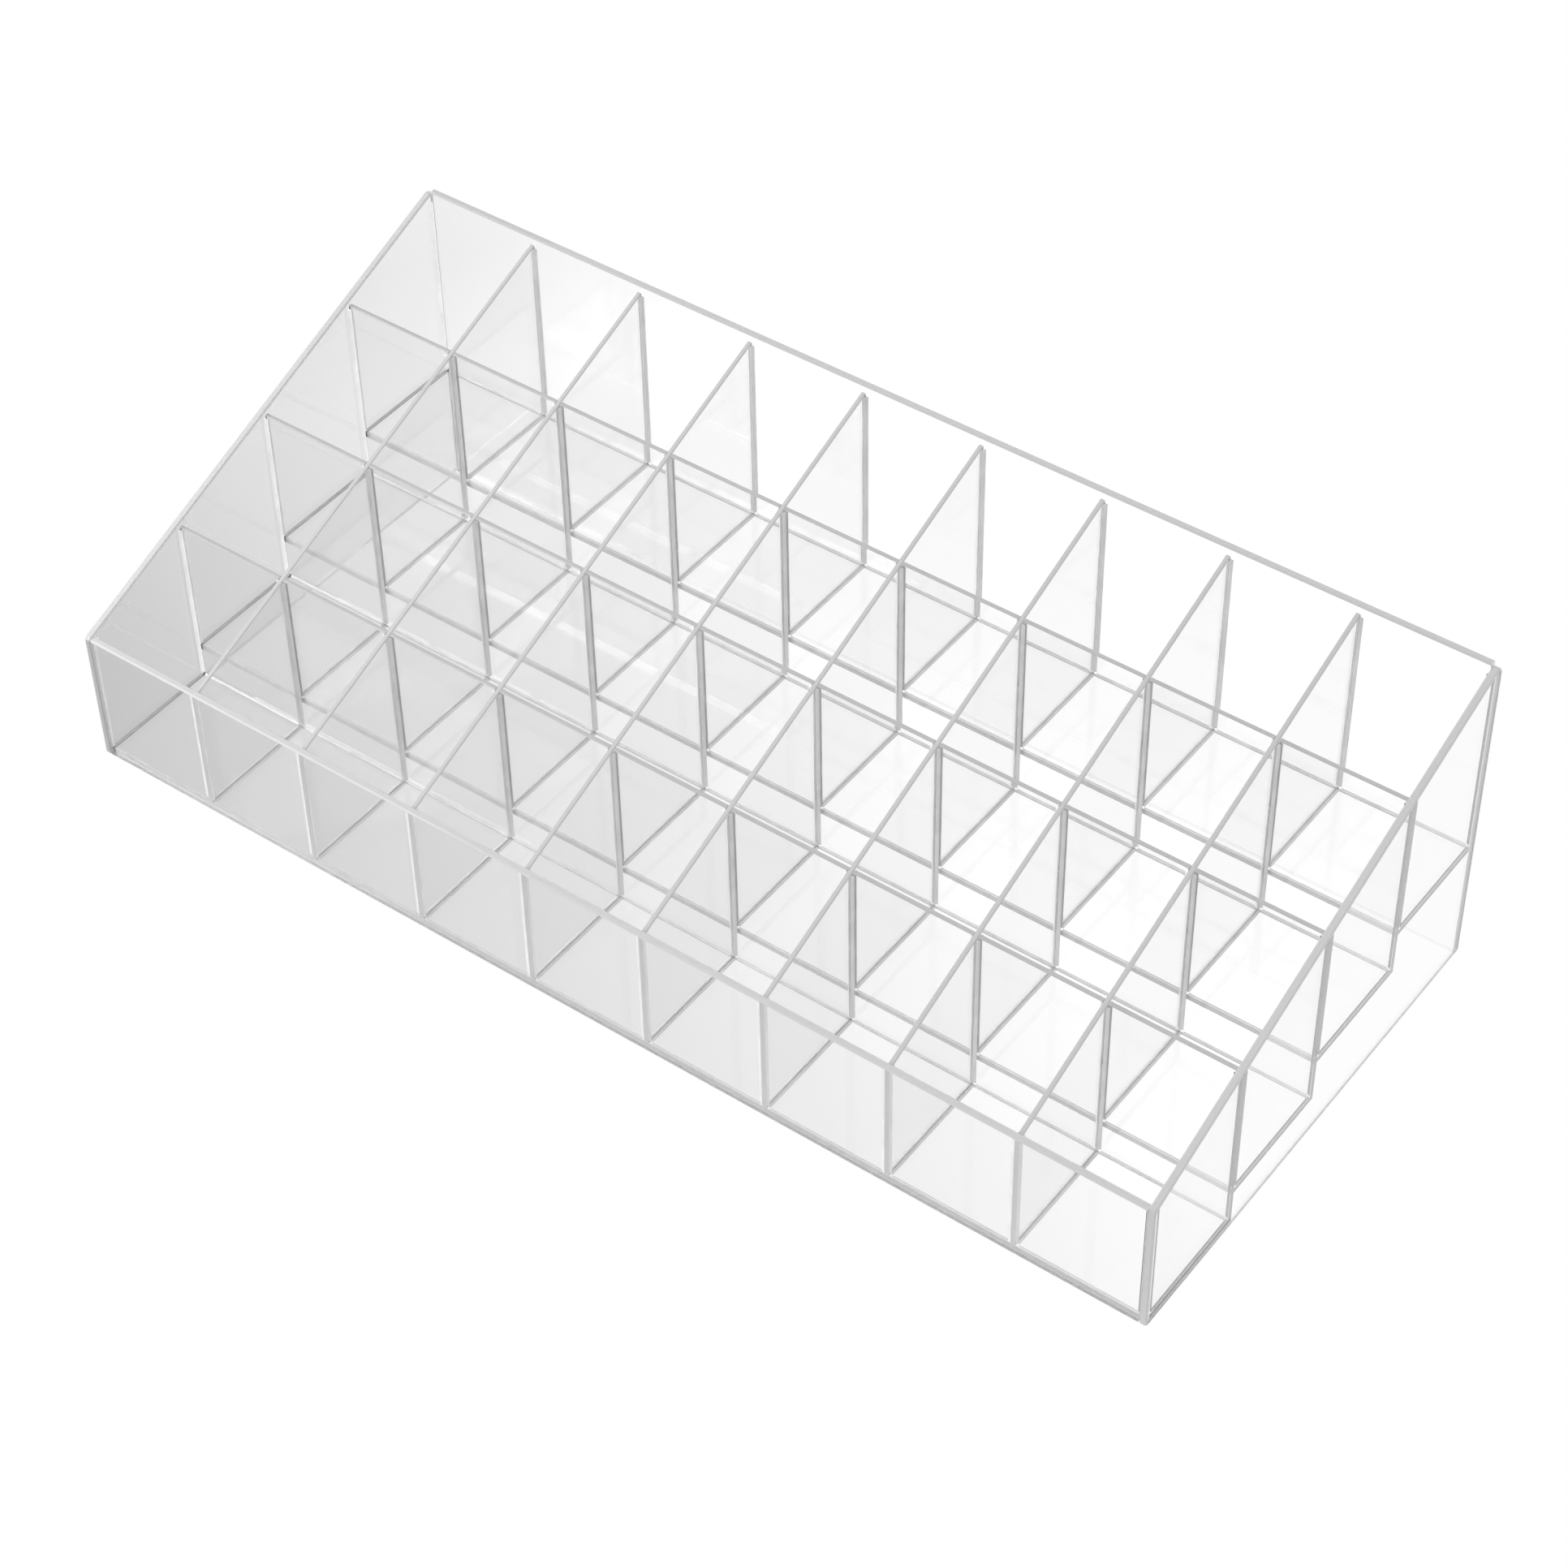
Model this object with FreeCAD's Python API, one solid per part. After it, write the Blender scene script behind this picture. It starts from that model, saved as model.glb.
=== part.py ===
import FreeCAD, Part
import os

os.makedirs("parts", exist_ok=True)

# Tiered rack for lipsticks, built from clear acrylic sheet, in millimetres.
# +X runs along the rack, +Y from its low front to its high back, +Z up.
# The origin is the middle of the footprint, on the surface the rack stands on.

# Outside of the rack
outer_length = 225.0
outer_depth = 100.0
back_height = 67.0
front_height = 28.0

# Thickness of the three kinds of sheet
shell_wall = 1.5
grid_wall = 1.0
floor_sheet = 1.2

# Cells: their number, and the levels that the floors climb to
columns = 9
rows = 4
second_floor_level = 8.2
floor_step = 8.9

# The grid inside stands this far below the sloped rim of the side panels
rim_drop = 1.0

# Room on each side of a sheet where it sits in a slot
slot_clearance = 0.1

# Rounded upper corners of the side panels, and the arris on exposed edges
corner_round = 1.2
shell_arris = 0.3
grid_arris = 0.2

# Lengths below this count as none when edges are picked
flat_tolerance = 0.01

# Inside of the shell
inner_length = outer_length - 2 * shell_wall
inner_depth = outer_depth - 2 * shell_wall
left_inside = -inner_length / 2
front_inside = -inner_depth / 2
back_inside = inner_depth / 2

# One cell and the steps from cell to cell
cell_length = (inner_length - (columns - 1) * grid_wall) / columns
cell_depth = (inner_depth - (rows - 1) * grid_wall) / rows
column_pitch = cell_length + grid_wall
row_pitch = cell_depth + grid_wall

rim_slope = (back_height - front_height) / outer_depth
slot_width = grid_wall + 2 * slot_clearance


def rim_height(y):
    """Height of the side panels' sloped rim at depth y."""
    return front_height + rim_slope * (y + outer_depth / 2)


def grid_height(y):
    """Height of the dividers' sloped top edge at depth y."""
    return rim_height(y) - rim_drop


def divider_start(number):
    """X of the left face of a column divider, which are counted from 1."""
    return left_inside + number * column_pitch - grid_wall


def wall_start(number):
    """Y of the front face of a cross wall, which are counted from 1."""
    return front_inside + number * row_pitch - grid_wall


def row_front(row):
    """Y where the cells of a row begin, with rows counted from 1."""
    return front_inside + (row - 1) * row_pitch


def floor_top(row):
    """Level of a row's floor: row 1 lies on the table, the others climb."""
    if row == 1:
        return floor_sheet
    return second_floor_level + (row - 2) * floor_step


def wall_top(number):
    """Top of a cross wall, level with the dividers at its middle."""
    return grid_height(wall_start(number) + grid_wall / 2)


def lap_height(number):
    """Height where a divider and a cross wall swap over in their slots."""
    return (floor_top(number + 1) + wall_top(number)) / 2


def block(length, depth, height, x, y, z):
    """Flat plate from its lowest corner."""
    return Part.makeBox(length, depth, height, FreeCAD.Vector(x, y, z))


def upright_sheet(outline, x, thickness):
    """Sheet standing across the rack, from an outline of (y, z) corners."""
    corners = [FreeCAD.Vector(x, y, z) for y, z in outline]
    face = Part.Face(Part.makePolygon(corners + corners[:1]))
    return face.extrude(FreeCAD.Vector(thickness, 0, 0))


def lies_in_side_face(edge):
    """True for an edge that lies in one flat side of an upright sheet."""
    return edge.BoundBox.XLength < flat_tolerance


def is_top_edge(edge, top):
    """True for an edge that runs along the level top of a sheet."""
    return edge.BoundBox.ZMin > top - flat_tolerance and edge.BoundBox.XLength > cell_length


def side_panel(x):
    """Trapezium with a sloped rim, two rounded upper corners and eased edges."""
    front = -outer_depth / 2
    back = outer_depth / 2
    outline = [(front, 0), (back, 0), (back, back_height), (front, front_height)]
    panel = upright_sheet(outline, x, shell_wall)
    corners = [edge for edge in panel.Edges
               if not lies_in_side_face(edge) and edge.BoundBox.ZMin > flat_tolerance]
    panel = panel.makeFillet(corner_round, corners)
    exposed = [edge for edge in panel.Edges
               if lies_in_side_face(edge) and edge.BoundBox.ZMax > flat_tolerance]
    return panel.makeChamfer(shell_arris, exposed)


def end_panel(y, height):
    """Front or back panel, held between the side panels, with an eased top."""
    panel = block(inner_length, shell_wall, height, left_inside, y, 0)
    rim = [edge for edge in panel.Edges if is_top_edge(edge, height)]
    return panel.makeChamfer(shell_arris, rim)


def cross_wall(number):
    """Long wall between two rows, and riser between their floors, slotted from above."""
    y = wall_start(number)
    foot = floor_top(number) - floor_sheet
    top = wall_top(number)
    wall = block(inner_length, grid_wall, top - foot, left_inside, y, foot)
    rim = [edge for edge in wall.Edges if is_top_edge(edge, top)]
    wall = wall.makeChamfer(grid_arris, rim)
    lap = lap_height(number)
    for divider in range(1, columns):
        slot_x = divider_start(divider) - slot_clearance
        wall = wall.cut(block(slot_width, grid_wall, top - lap, slot_x, y, lap))
    return wall


def column_divider(number):
    """Front-to-back sheet with a sloped top and a foot stepped to sit on each floor."""
    outline = [(back_inside, grid_height(back_inside)), (front_inside, grid_height(front_inside))]
    for row in range(1, rows + 1):
        row_back = row_front(row) + cell_depth
        outline.append((row_front(row), floor_top(row)))
        outline.append((row_back, floor_top(row)))
    x = divider_start(number)
    divider = upright_sheet(outline, x, grid_wall)
    slope = [edge for edge in divider.Edges
             if lies_in_side_face(edge) and edge.BoundBox.YLength > inner_depth - grid_wall]
    divider = divider.makeChamfer(grid_arris, slope)
    for wall in range(1, rows):
        foot = floor_top(wall)
        slot_y = wall_start(wall) - slot_clearance
        slot = block(grid_wall, slot_width, lap_height(wall) - foot, x, slot_y, foot)
        divider = divider.cut(slot)
    return divider


def row_floor(row):
    """Strip that closes a row of cells below, between its two walls."""
    level = floor_top(row) - floor_sheet
    return block(inner_length, cell_depth, floor_sheet, left_inside, row_front(row), level)


pieces = {
    "left_side_panel": side_panel(-outer_length / 2),
    "right_side_panel": side_panel(outer_length / 2 - shell_wall),
    "front_panel": end_panel(-outer_depth / 2, front_height),
    "back_panel": end_panel(back_inside, back_height),
}
for number in range(1, rows):
    pieces[f"cross_wall_{number}"] = cross_wall(number)
for number in range(1, columns):
    pieces[f"column_divider_{number}"] = column_divider(number)
for row in range(1, rows + 1):
    pieces[f"row_floor_{row}"] = row_floor(row)

for name, shape in pieces.items():
    shape.exportStep(f"parts/{name}.step")
    print(name, shape.isValid(), len(shape.Solids), round(shape.Volume, 1))
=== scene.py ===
import math

import bmesh
import bpy
from mathutils import Matrix, Vector


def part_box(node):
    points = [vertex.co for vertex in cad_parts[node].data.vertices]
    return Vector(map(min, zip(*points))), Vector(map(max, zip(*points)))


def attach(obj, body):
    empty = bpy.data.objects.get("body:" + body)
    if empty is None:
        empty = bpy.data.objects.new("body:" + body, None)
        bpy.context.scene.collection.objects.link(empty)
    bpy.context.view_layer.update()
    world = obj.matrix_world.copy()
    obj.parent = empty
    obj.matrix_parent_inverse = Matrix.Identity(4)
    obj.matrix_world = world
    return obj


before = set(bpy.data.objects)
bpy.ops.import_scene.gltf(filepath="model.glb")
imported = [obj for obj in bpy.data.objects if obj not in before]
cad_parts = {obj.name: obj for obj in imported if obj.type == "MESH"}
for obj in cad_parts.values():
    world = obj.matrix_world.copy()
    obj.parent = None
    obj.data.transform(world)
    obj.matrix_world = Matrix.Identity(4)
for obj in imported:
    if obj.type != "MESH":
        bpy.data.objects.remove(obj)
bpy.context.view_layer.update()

# Colourless acrylic lipstick rack on a white table. Metres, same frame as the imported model.

X = Vector((1.0, 0.0, 0.0))
Y = Vector((0.0, 1.0, 0.0))
Z = Vector((0.0, 0.0, 1.0))
PURE_WHITE = (1.0, 1.0, 1.0, 1.0)
PURE_BLACK = (0.0, 0.0, 0.0, 1.0)
LIGHT_BOUNCES = 96

scene = bpy.context.scene
scene.view_settings.view_transform = "Standard"
scene.view_settings.look = "None"
scene.cycles.max_bounces = LIGHT_BOUNCES
scene.cycles.transmission_bounces = LIGHT_BOUNCES
scene.cycles.glossy_bounces = LIGHT_BOUNCES
scene.cycles.transparent_max_bounces = LIGHT_BOUNCES
scene.cycles.use_denoising = True
scene.cycles.blur_glossy = 0.0

# Camera, at the place found from the photo's edges and corners.

SENSOR_WIDTH = 36.0
LENS = 87.69
NEAREST = 0.01
FARTHEST = 20.0
CAMERA_PLACE = Vector((0.29089, -0.37639, 0.48422))
CAMERA_FORWARD = Vector((-0.43066, 0.56734, -0.70190))
CAMERA_UP = Vector((-0.40755, 0.57195, 0.71188))


def place_camera():
    camera = bpy.data.objects.new("camera", bpy.data.cameras.new("camera"))
    camera.data.sensor_width = SENSOR_WIDTH
    camera.data.lens = LENS
    camera.data.clip_start = NEAREST
    camera.data.clip_end = FARTHEST
    scene.collection.objects.link(camera)
    forward = CAMERA_FORWARD.normalized()
    right = forward.cross(CAMERA_UP).normalized()
    camera.matrix_world = Matrix((right, right.cross(forward), -forward)).transposed().to_4x4()
    camera.matrix_world.translation = CAMERA_PLACE
    scene.camera = camera


place_camera()

# Node helpers.


def new_material(name):
    mat = bpy.data.materials.new(name)
    mat.use_nodes = True
    return mat, mat.node_tree, mat.node_tree.nodes["Principled BSDF"]


def feed(tree, socket, value):
    """Set a number on a socket, or link another node's output to it."""
    if isinstance(value, (int, float)):
        socket.default_value = value
    else:
        tree.links.new(value, socket)


def math_node(tree, operation, *values):
    node = tree.nodes.new("ShaderNodeMath")
    node.operation = operation
    for socket, value in zip(node.inputs, values):
        feed(tree, socket, value)
    return node.outputs[0]


def map_range(tree, value, low, high, to_low=0.0, to_high=1.0):
    node = tree.nodes.new("ShaderNodeMapRange")
    node.clamp = True
    feed(tree, node.inputs["Value"], value)
    for socket, limit in zip(("From Min", "From Max", "To Min", "To Max"), (low, high, to_low, to_high)):
        node.inputs[socket].default_value = limit
    return node.outputs["Result"]


def blend(tree, factor, a, b):
    node = tree.nodes.new("ShaderNodeMix")
    for socket, value in (("Factor", factor), ("A", a), ("B", b)):
        feed(tree, node.inputs[socket], value)
    return node.outputs["Result"]


def noise(tree, place, scale, detail):
    node = tree.nodes.new("ShaderNodeTexNoise")
    node.inputs["Scale"].default_value = scale
    node.inputs["Detail"].default_value = detail
    tree.links.new(place.outputs["Object"], node.inputs["Vector"])
    return node.outputs["Fac"]


# Boxes of the pieces, which the materials and the fillets are fitted to.

COLUMNS = 9
ROWS = 4

side_low, side_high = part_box("left_side_panel")
right_low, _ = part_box("right_side_panel")
_, front_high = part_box("front_panel")
back_low, back_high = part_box("back_panel")
dividers = [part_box(f"column_divider_{n}") for n in range(1, COLUMNS)]
walls = [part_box(f"cross_wall_{n}") for n in range(1, ROWS)]
floors = [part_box(f"row_floor_{n}") for n in range(1, ROWS + 1)]

# Acrylic. A tint is the grey that an edge shows, partly the matt cut edge's own grey and partly painted
# shade, set darker on some kinds of edge and on some pieces; an edge with the tint CLEAR is see-through
# instead.
# A surface counts as face, rim, foot or back by how squarely it looks along the axis of the broad faces, up,
# down or back, between two limits. It counts as end by how near it lies to the piece that it is bonded to.

IOR = 1.49
ABSORPTION = 1.5
CLEAR = 1.0
EDGE_TRANSMISSION = 0.1
OUTER_REFLECTION_SHADE = 0.35
EDGE_ROUGHNESS = 0.1
FACE_ROUGHNESS = (0.002, 0.0064)
HAZE_SCALE = 90.0
HAZE_DETAIL = 4.0
HAZE_LIMITS = (0.35, 0.7)
FACE_LIMITS = (0.97, 0.999)
RIM_LIMITS = (0.3, 0.4)
FOOT_LIMITS = (-0.4, -0.5)
BACK_LIMITS = (0.4, 0.5)
END_LIMITS = (0.0004, 0.0003)
NO_END = 1.0
WELD_DISTANCE = 0.000001
GAP = 0.00003


def transmission(grey_and_shade):
    return 1.0 if grey_and_shade == CLEAR else EDGE_TRANSMISSION


def acrylic(name, face_axis, face, rim, front, back, end=CLEAR, rim_inside=CLEAR, foot_inside=CLEAR,
            foot_below=CLEAR, end_axis="X", end_at=NO_END):
    """Clear sheet with polished broad faces along one axis and matt cut edges, each kind with its own tint,
    partly painted shade. The faces' grey, which differs from piece to piece, is painted shade.
    Upright edges look front or back or are bonded ends. Rims and feet have one more tint for light inside."""
    mat, tree, shader = new_material(name)
    place = tree.nodes.new("ShaderNodeTexCoord")
    normal = tree.nodes.new("ShaderNodeSeparateXYZ")
    tree.links.new(place.outputs["Normal"], normal.inputs[0])
    point = tree.nodes.new("ShaderNodeSeparateXYZ")
    tree.links.new(place.outputs["Object"], point.inputs[0])
    geometry = tree.nodes.new("ShaderNodeNewGeometry")
    inside = geometry.outputs["Backfacing"]

    # For light inside the sheet the normal points the other way, so its upward part gets its sign back.
    upward = math_node(tree, "MULTIPLY", normal.outputs["Z"], map_range(tree, inside, 0.0, 1.0, 1.0, -1.0))
    squareness = math_node(tree, "ABSOLUTE", normal.outputs[face_axis])
    reach = math_node(tree, "ABSOLUTE", point.outputs[end_axis])
    is_face = map_range(tree, squareness, *FACE_LIMITS)
    is_rim = map_range(tree, upward, *RIM_LIMITS)
    is_foot = map_range(tree, upward, *FOOT_LIMITS)
    is_back = map_range(tree, normal.outputs["Y"], *BACK_LIMITS)
    is_end = map_range(tree, reach, *(end_at - limit for limit in END_LIMITS))

    def by_edge(front, back, end, rim, rim_inside, foot_below, foot_inside):
        upright = blend(tree, is_end, blend(tree, is_back, front, back), end)
        with_foot = blend(tree, is_foot, upright, blend(tree, inside, foot_below, foot_inside))
        return blend(tree, is_rim, with_foot, blend(tree, inside, rim, rim_inside))

    # Edge grey: partly the cut edge's own grey, partly painted shade.
    edge_greys_and_shades = (front, back, end, rim, rim_inside, foot_below, foot_inside)
    edge_grey_and_shade = by_edge(*edge_greys_and_shades)
    edge_transmission = by_edge(*(transmission(grey_and_shade) for grey_and_shade in edge_greys_and_shades))
    haze = noise(tree, place, HAZE_SCALE, HAZE_DETAIL)
    face_roughness = map_range(tree, haze, *HAZE_LIMITS, *FACE_ROUGHNESS)
    shader.inputs["IOR"].default_value = IOR
    tree.links.new(blend(tree, is_face, EDGE_ROUGHNESS, face_roughness), shader.inputs["Roughness"])
    tree.links.new(blend(tree, is_face, edge_grey_and_shade, face), shader.inputs["Base Color"])
    tree.links.new(blend(tree, is_face, edge_transmission, 1.0), shader.inputs["Transmission Weight"])
    # Outer faces reflect only part of the white studio: painted shade on the reflection, in place of darker
    # surroundings.
    tree.links.new(map_range(tree, inside, 0.0, 1.0, OUTER_REFLECTION_SHADE, 1.0), shader.inputs["Specular Tint"])
    tree.links.new(geometry.outputs["True Normal"], shader.inputs["Normal"])
    absorb = tree.nodes.new("ShaderNodeVolumeAbsorption")
    absorb.inputs["Color"].default_value = PURE_BLACK
    absorb.inputs["Density"].default_value = ABSORPTION
    tree.links.new(absorb.outputs[0], tree.nodes["Material Output"].inputs["Volume"])
    return mat


# Painted shade: the face greys differ from piece to piece, darkest on the right side panel and the dividers,
# and the right side panel is darker than the left one. The near-black ends of the cross walls and floors at
# the right side panel and the darker front edge of the left side panel are painted shade too.
FAMILIES = {
    "right_side_panel": dict(
        face_axis="X", face=0.89, rim=0.57, front=0.56, back=0.56, foot_inside=0.7),
    "left_side_panel": dict(
        face_axis="X", face=0.94, rim=0.57, front=0.42, back=0.56, foot_inside=0.7),
    "front_panel": dict(
        face_axis="Y", face=0.96, rim=0.58, front=0.8, back=0.8, end=0.9, foot_inside=0.56,
        end_at=right_low.x),
    "back_panel": dict(
        face_axis="Y", face=0.975, rim=0.53, front=0.8, back=0.8, end=0.8, end_at=right_low.x),
    "cross_wall": dict(
        face_axis="Y", face=0.965, rim=0.46, front=0.85, back=0.85, end=0.1, end_at=right_low.x),
    "column_divider": dict(
        face_axis="X", face=0.905, rim=0.55, front=0.85, back=0.85, end=0.6, rim_inside=0.6, foot_inside=0.6,
        foot_below=0.6, end_axis="Y", end_at=back_low.y),
    "row_floor": dict(
        face_axis="Z", face=0.995, rim=0.56, front=0.6, back=CLEAR, end=0.1, end_at=right_low.x),
}
acrylics = {family: acrylic("acrylic_" + family, **look) for family, look in FAMILIES.items()}

for name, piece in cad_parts.items():
    family = next(family for family in FAMILIES if family in name)
    for material_slot in piece.material_slots:
        material_slot.material = acrylics[family]
    weld = piece.modifiers.new("weld", "WELD")
    weld.merge_threshold = WELD_DISTANCE
    gap = piece.modifiers.new("glue_line", "DISPLACE")
    gap.direction = "NORMAL"
    gap.mid_level = 0.0
    gap.strength = -GAP

# Fillets of set cement in the corners of the cells. The cement comes in lit and shaded copies: a painted
# highlight that glows white, painted light with a faint glow, and painted shade in three depths.

CEMENT_ROUGHNESS = 0.2
CEMENT_TRANSMISSION = 0.12
CLOUD_SCALE = 220.0
CLOUD_DETAIL = 2.0
CLOUD_LIMITS = (0.3, 0.7)
CLOUD_SPREAD = 0.07
CORNER_FILLET = 0.0005
FLOOR_FILLET = 0.00038
FILLET_STEPS = 4
STANDOFF = 0.00004
INSET = CORNER_FILLET + 2 * STANDOFF
PAINTED_SHADE, PAINTED_LIGHT, PAINTED_HIGHLIGHT, PAINTED_DEEP_SHADE, SHADE = range(5)


def cement(name, grey_and_shade, glow):
    """Set cement, slightly cloudy, with a grey that paints light and shade and a white glow that paints a
    highlight.
    """
    mat, tree, shader = new_material(name)
    shader.inputs["IOR"].default_value = IOR
    shader.inputs["Roughness"].default_value = CEMENT_ROUGHNESS
    shader.inputs["Transmission Weight"].default_value = CEMENT_TRANSMISSION
    shader.inputs["Emission Color"].default_value = PURE_WHITE
    shader.inputs["Emission Strength"].default_value = glow
    cloud = noise(tree, tree.nodes.new("ShaderNodeTexCoord"), CLOUD_SCALE, CLOUD_DETAIL)
    thin, thick = grey_and_shade * (1 - CLOUD_SPREAD), grey_and_shade * (1 + CLOUD_SPREAD)
    tree.links.new(map_range(tree, cloud, *CLOUD_LIMITS, thin, thick), shader.inputs["Base Color"])
    return mat


cements = (
    cement("cement_painted_shade", 0.72, 0.0),
    cement("cement_painted_light", 0.73, 0.025),
    cement("cement_painted_highlight", 0.88, 0.1),
    cement("cement_painted_deep_shade", 0.1, 0.0),
    cement("cement_shade", 0.5, 0.0),
)

lefts = [side_high.x] + [high.x for _, high in dividers]
rights = [low.x for low, _ in dividers] + [right_low.x]
fronts = [front_high.y] + [high.y for _, high in walls]
backs = [low.y for low, _ in walls] + [back_low.y]
wall_tops = [front_high.z] + [high.z for _, high in walls] + [back_high.z]
rim_rise = (side_high.z - front_high.z) / (side_high.y - side_low.y)
rim_drop = side_high.z - max(high.z for _, high in dividers) - rim_rise * (side_high.y - back_low.y)


def divider_height(y):
    """Height of the sloped top of a divider."""
    return front_high.z + (y - side_low.y) * rim_rise - rim_drop


def fillet(bm, corner, toward_a, toward_b, run, radius, cement_index):
    """Concave fillet in the corner between two faces, drawn along run."""
    start = corner + (toward_a + toward_b) * STANDOFF
    centre = start + (toward_a + toward_b) * radius
    section = [start]
    for step in range(FILLET_STEPS + 1):
        turn = math.pi / 2 * step / FILLET_STEPS
        section.append(centre - toward_a * radius * math.sin(turn) - toward_b * radius * math.cos(turn))
    near = [bm.verts.new(point) for point in section]
    far = [bm.verts.new(point + run) for point in section]
    faces = [bm.faces.new(near), bm.faces.new(list(reversed(far)))]
    for i, j in zip(range(len(section)), list(range(1, len(section))) + [0]):
        faces.append(bm.faces.new((near[i], far[i], far[j], near[j])))
    for face in faces:
        face.material_index = cement_index


def fill_cell(bm, row, x0, x1):
    """Fillets in the upright corners of one cell and along the edges of its floor."""
    y0, y1 = fronts[row], backs[row]
    floor_z = floors[row][1].z
    base = floor_z + INSET
    along_x = X * (x1 - x0 - 2 * INSET)
    along_y = Y * (y1 - y0 - 2 * INSET)
    # Painted light and shade by side: upright fillets on a cell's left are painted shade and on its right a
    # glowing painted highlight; at the left side panel the upright ones are the highlight and the floor run
    # deeper painted shade, and at the right side panel all are deep painted shade. Runs along the front and
    # back are painted light.
    left_cement = PAINTED_HIGHLIGHT if x0 == lefts[0] else PAINTED_SHADE
    left_run_cement = SHADE if x0 == lefts[0] else PAINTED_SHADE
    right_cement = PAINTED_DEEP_SHADE if x1 == rights[-1] else PAINTED_HIGHLIGHT
    for x, toward_x, upright_cement, run_cement in (
            (x0, X, left_cement, left_run_cement), (x1, -X, right_cement, right_cement)):
        for y, toward_y, wall_top in ((y0, Y, wall_tops[row]), (y1, -Y, wall_tops[row + 1])):
            rise = Z * (min(wall_top, divider_height(y)) - INSET - base)
            fillet(bm, Vector((x, y, base)), toward_x, toward_y, rise, CORNER_FILLET, upright_cement)
        fillet(bm, Vector((x, y0 + INSET, floor_z)), toward_x, Z, along_y, FLOOR_FILLET, run_cement)
    for y, toward_y in ((y0, Y), (y1, -Y)):
        fillet(bm, Vector((x0 + INSET, y, floor_z)), toward_y, Z, along_x, FLOOR_FILLET, PAINTED_LIGHT)


for row in range(ROWS):
    bm = bmesh.new()
    for x0, x1 in zip(lefts, rights):
        fill_cell(bm, row, x0, x1)
    bmesh.ops.recalc_face_normals(bm, faces=bm.faces)
    mesh = bpy.data.meshes.new(f"cement_fillets_{row + 1}")
    bm.to_mesh(mesh)
    bm.free()
    for mat in cements:
        mesh.materials.append(mat)
    fillets = bpy.data.objects.new(f"cement_fillets_{row + 1}", mesh)
    scene.collection.objects.link(fillets)
    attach(fillets, "root")

# Table. It is plain white when looked at directly. Through the rack it gets darker towards the front left,
# and a little behind the back left corner. Each pool of light has a direction, the stretch that it changes
# over, and its levels at the two ends.

TABLE_HALF = 3.0
TABLE_Z = -0.0001
POOLS = (
    ((0.488, 0.873, 0.0), (-0.165, 0.035), (0.37, 1.08)),
    ((-0.6, 0.4, 0.0), (0.105, 0.135), (1.0, 0.9)),
)


def pool_of_light(tree, place, direction, stretch, levels):
    along = tree.nodes.new("ShaderNodeVectorMath")
    along.operation = "DOT_PRODUCT"
    tree.links.new(place.outputs["Object"], along.inputs[0])
    along.inputs[1].default_value = direction
    return map_range(tree, along.outputs["Value"], *stretch, *levels)


def table_white():
    mat, tree, shader = new_material("table_white")
    tree.nodes.remove(shader)
    place = tree.nodes.new("ShaderNodeTexCoord")
    lit = tree.nodes.new("ShaderNodeEmission")
    pools = [pool_of_light(tree, place, *pool) for pool in POOLS]
    tree.links.new(math_node(tree, "MULTIPLY", *pools), lit.inputs["Strength"])
    white = tree.nodes.new("ShaderNodeEmission")
    white.inputs["Strength"].default_value = 1.0
    rays = tree.nodes.new("ShaderNodeLightPath")
    mix = tree.nodes.new("ShaderNodeMixShader")
    tree.links.new(rays.outputs["Is Camera Ray"], mix.inputs[0])
    tree.links.new(lit.outputs[0], mix.inputs[1])
    tree.links.new(white.outputs[0], mix.inputs[2])
    tree.links.new(mix.outputs[0], tree.nodes["Material Output"].inputs["Surface"])
    return mat


table_mesh = bpy.data.meshes.new("table")
corners = [(x * TABLE_HALF, y * TABLE_HALF, TABLE_Z) for x, y in ((-1, -1), (1, -1), (1, 1), (-1, 1))]
table_mesh.from_pydata(corners, [], [(0, 1, 2, 3)])
table_mesh.materials.append(table_white())
table = bpy.data.objects.new("table", table_mesh)
scene.collection.objects.link(table)

# Even studio light and one soft lamp at the front left.

LAMP_SIZE = 0.25
LAMP_POWER = 0.8
LAMP_PLACE = Vector((-0.30, -0.22, 0.15))
LAMP_AIM = Vector((-0.08, -0.03, 0.03))

world = bpy.data.worlds.new("studio")
world.use_nodes = True
background = world.node_tree.nodes["Background"]
background.inputs["Color"].default_value = PURE_WHITE
background.inputs["Strength"].default_value = 1.0
scene.world = world

lamp = bpy.data.objects.new("softbox", bpy.data.lights.new("softbox", "AREA"))
lamp.data.shape = "SQUARE"
lamp.data.size = LAMP_SIZE
lamp.data.energy = LAMP_POWER
lamp.location = LAMP_PLACE
lamp.rotation_euler = (LAMP_AIM - LAMP_PLACE).to_track_quat("-Z", "Y").to_euler()
scene.collection.objects.link(lamp)
